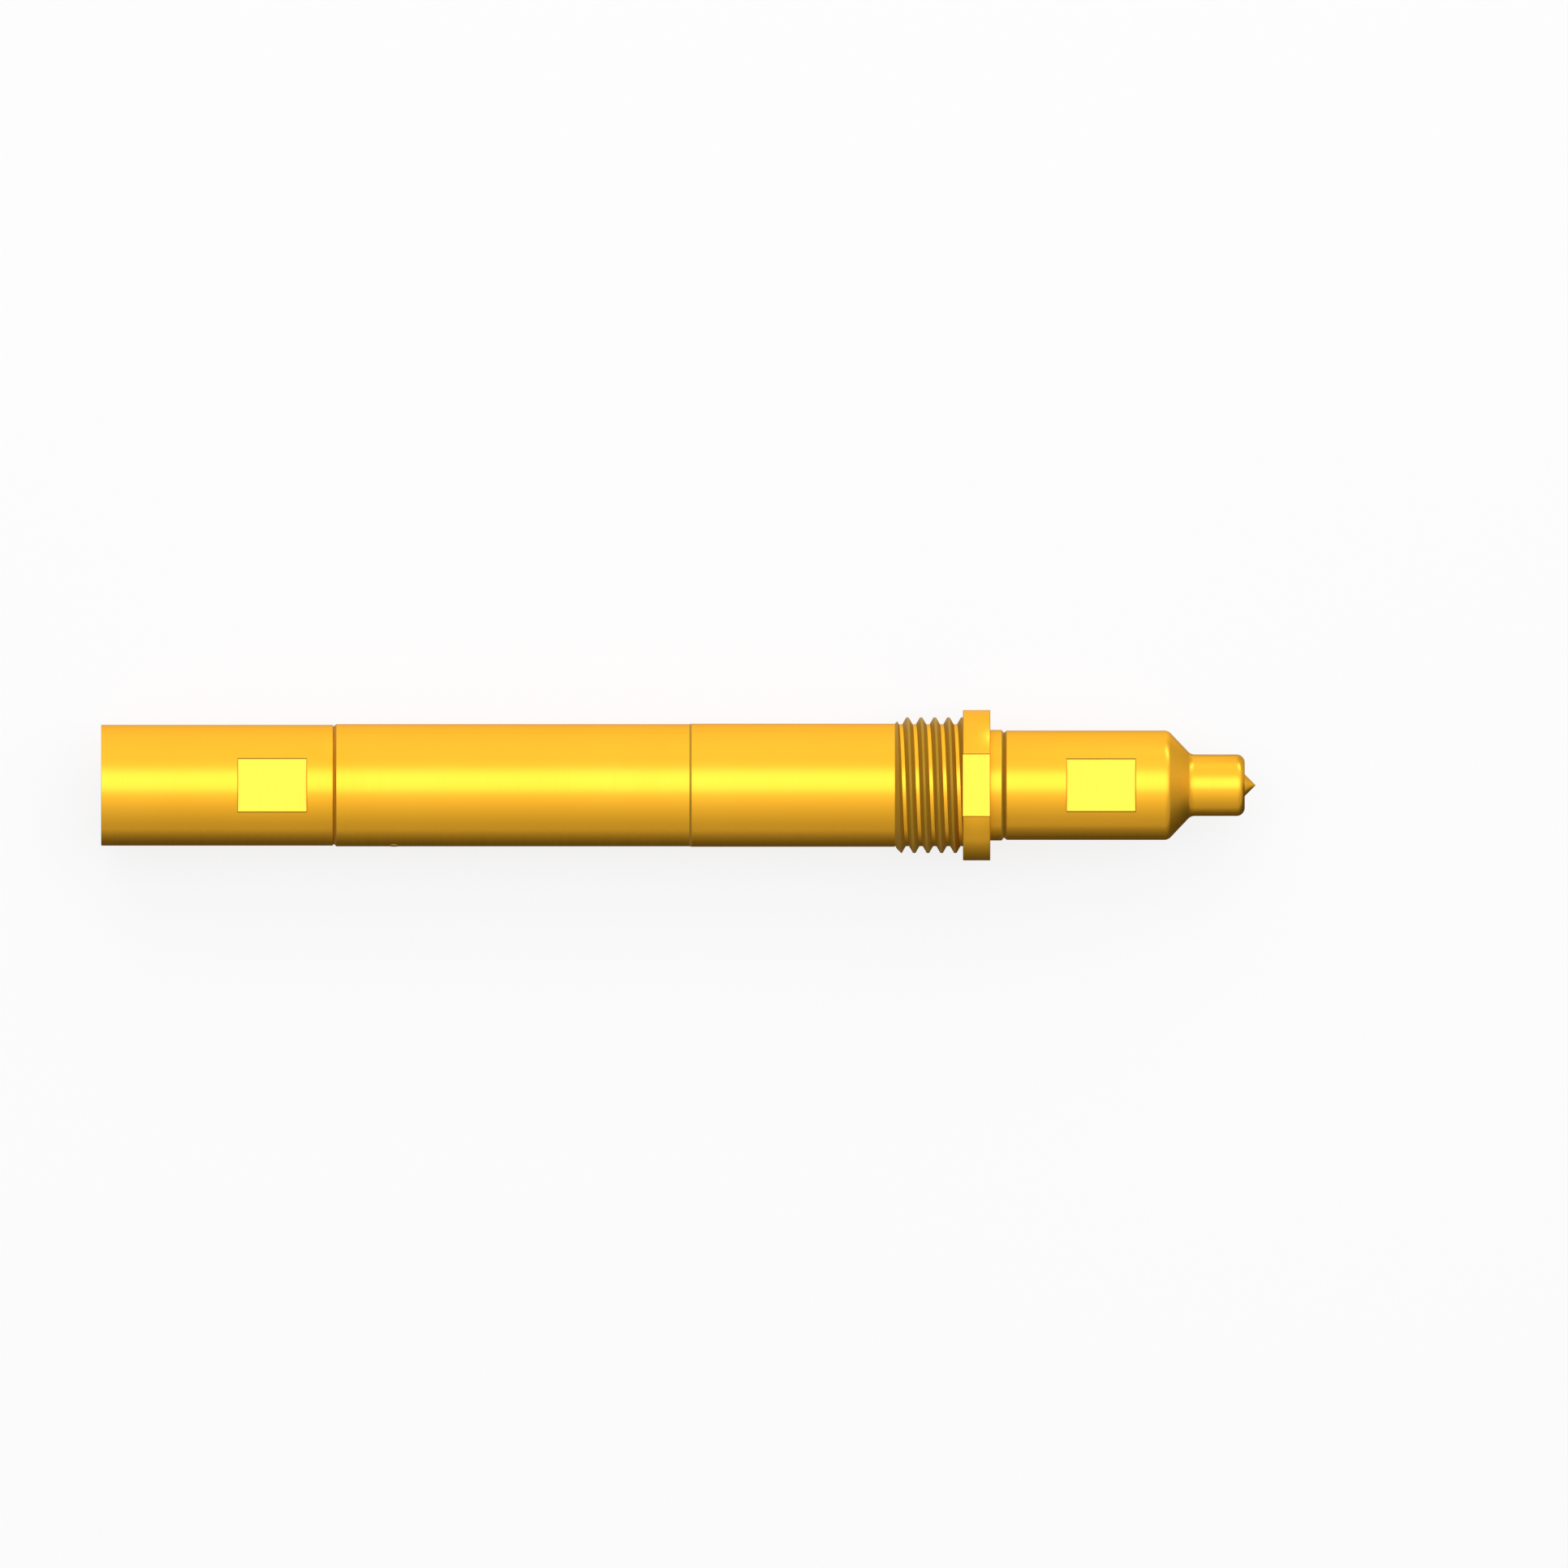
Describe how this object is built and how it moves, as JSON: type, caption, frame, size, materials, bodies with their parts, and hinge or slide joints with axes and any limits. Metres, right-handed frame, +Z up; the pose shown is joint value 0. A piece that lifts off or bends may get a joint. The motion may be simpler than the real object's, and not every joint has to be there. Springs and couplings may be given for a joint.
{
  "type": "rf test probe",
  "caption": "Spring-loaded coaxial test probe with a threaded, flanged barrel, a sliding head with a pointed contact pin, and a rear push-fit jack.",
  "frame": {"origin": "centre of the flange's rear face, which seats on the mounting plate, on the probe's axis", "axes": "+X along the probe's axis, towards the contact tip; +Z up, square to the wrench flats; +Y to the side"},
  "size_m": [0.0422, 0.0054, 0.005],
  "materials": {
    "gold_plating": "turned, gold plated, bright",
    "bare_brass": "turned, plain",
    "spring_steel": "drawn wire",
    "white_insulator": "matte, waxy"
  },
  "bodies": {
    "barrel": {"barrel": "gold_plating", "rear_guide_bush": "bare_brass", "bush_pin": "bare_brass", "spring_washer_rear": "spring_steel", "return_spring": "spring_steel"},
    "coax_plunger": {"guide_sleeve": "gold_plating", "plunger_head": "gold_plating", "core_tube": "gold_plating", "inner_conductor": "gold_plating", "front_insulator": "white_insulator", "contact_barrel": "gold_plating", "contact_spring": "spring_steel", "connector_shell": "gold_plating", "connector_insulator": "white_insulator", "centre_contact": "gold_plating", "support_bead_rear": "white_insulator", "support_bead_middle": "white_insulator", "support_bead_front": "white_insulator", "spring_washer_front": "spring_steel"},
    "contact_tip": {"contact_pin": "gold_plating"}
  },
  "joints": [
    {"name": "plunger_slide", "type": "slide", "parent": "barrel", "child": "coax_plunger", "axis": [-1, 0, 0], "range_m": [0, 0.004], "stiffness_N_per_m": 450, "deforming": ["return_spring"]},
    {"name": "contact_slide", "type": "slide", "parent": "coax_plunger", "child": "contact_tip", "axis": [-1, 0, 0], "range_m": [0, 0.0005], "stiffness_N_per_m": 300, "deforming": ["contact_spring"]}
  ]
}
